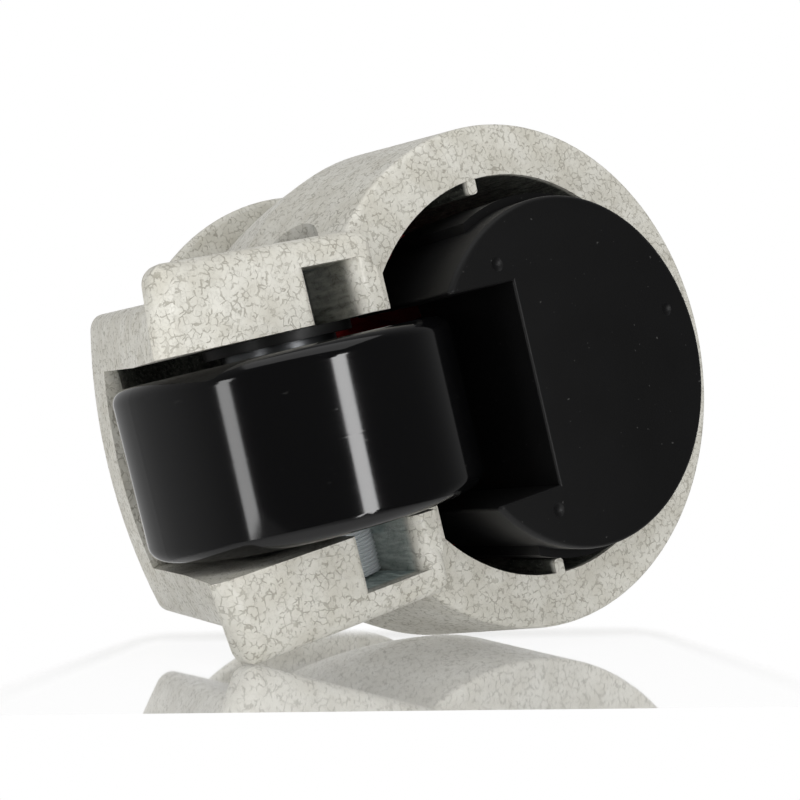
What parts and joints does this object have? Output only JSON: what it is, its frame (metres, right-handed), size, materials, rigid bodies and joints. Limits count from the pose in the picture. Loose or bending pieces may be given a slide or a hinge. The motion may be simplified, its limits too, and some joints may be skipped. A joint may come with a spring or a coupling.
{
  "type": "levelling castor",
  "caption": "Threaded-stud swivel castor in a die-cast drum housing, with a trailing wheel and a foot that a thumb wheel screws down to lift and level the load.",
  "frame": {"origin": "on the swivel axis, on the mounting face of the swivel head from which the stud rises", "axes": "+Z along the stud, away from the floor; the wheel trails towards +X; the axle lies along Y"},
  "size_m": [0.1039, 0.0824, 0.102],
  "materials": {
    "ivory_paint": "hammered ivory stove paint with a fine grey-brown crackle, satin gloss",
    "zinc_steel": "bright zinc plated steel",
    "bearing_steel": "ground and hardened bearing steel",
    "black_oxide_steel": "blackened spring steel",
    "red_nylon": "red moulded nylon, satin",
    "black_nylon": "black cast nylon, polished tread",
    "black_rubber": "black hard rubber, fine moulded satin",
    "seal_rubber": "black nitrile rubber",
    "white_acetal": "natural white acetal",
    "bronze": "plain bronze"
  },
  "bodies": {
    "head": {"swivel_head": "ivory_paint", "stem": "zinc_steel", "kingpin_nut": "zinc_steel", "upper_race": "bearing_steel", "swivel_washer": "white_acetal", "thrust_washer": "bronze"},
    "fork": {"housing": "ivory_paint", "lower_race": "bearing_steel", "dust_seal": "seal_rubber", "axle_bolt": "zinc_steel", "axle_bush": "zinc_steel", "axle_washers": "black_nylon"},
    "ball_set": {"bearing_balls": "bearing_steel", "ball_cage": "white_acetal"},
    "road_wheel": {"wheel": "black_nylon"},
    "hand_wheel": {"thumb_wheel": "red_nylon", "thumb_nut": "zinc_steel", "thumb_circlip": "black_oxide_steel"},
    "levelling_foot": {"foot": "black_rubber", "foot_screw": "zinc_steel", "foot_retainer": "black_oxide_steel"}
  },
  "joints": [
    {"name": "swivel", "type": "hinge", "parent": "head", "child": "fork", "pos_m": [0, 0, 0], "axis": [0, 0, 1], "continuous": true},
    {"name": "ball_orbit", "type": "hinge", "parent": "head", "child": "ball_set", "pos_m": [0, 0, 0], "axis": [0, 0, 1], "continuous": true},
    {"name": "wheel_spin", "type": "hinge", "parent": "fork", "child": "road_wheel", "pos_m": [0.036, 0, -0.052], "axis": [0, 1, 0], "continuous": true},
    {"name": "foot_slide", "type": "slide", "parent": "fork", "child": "levelling_foot", "axis": [0, 0, -1], "range_m": [0, 0.012]},
    {"name": "thumb_turn", "type": "hinge", "parent": "fork", "child": "hand_wheel", "pos_m": [0, 0, 0], "axis": [0, 0, 1], "range_deg": [0, 2880]}
  ],
  "couplings": [
    {"joint": "ball_orbit", "follows": "swivel", "ratio": 0.5},
    {"joint": "thumb_turn", "follows": "foot_slide", "rad_per_m": 4188.8}
  ]
}
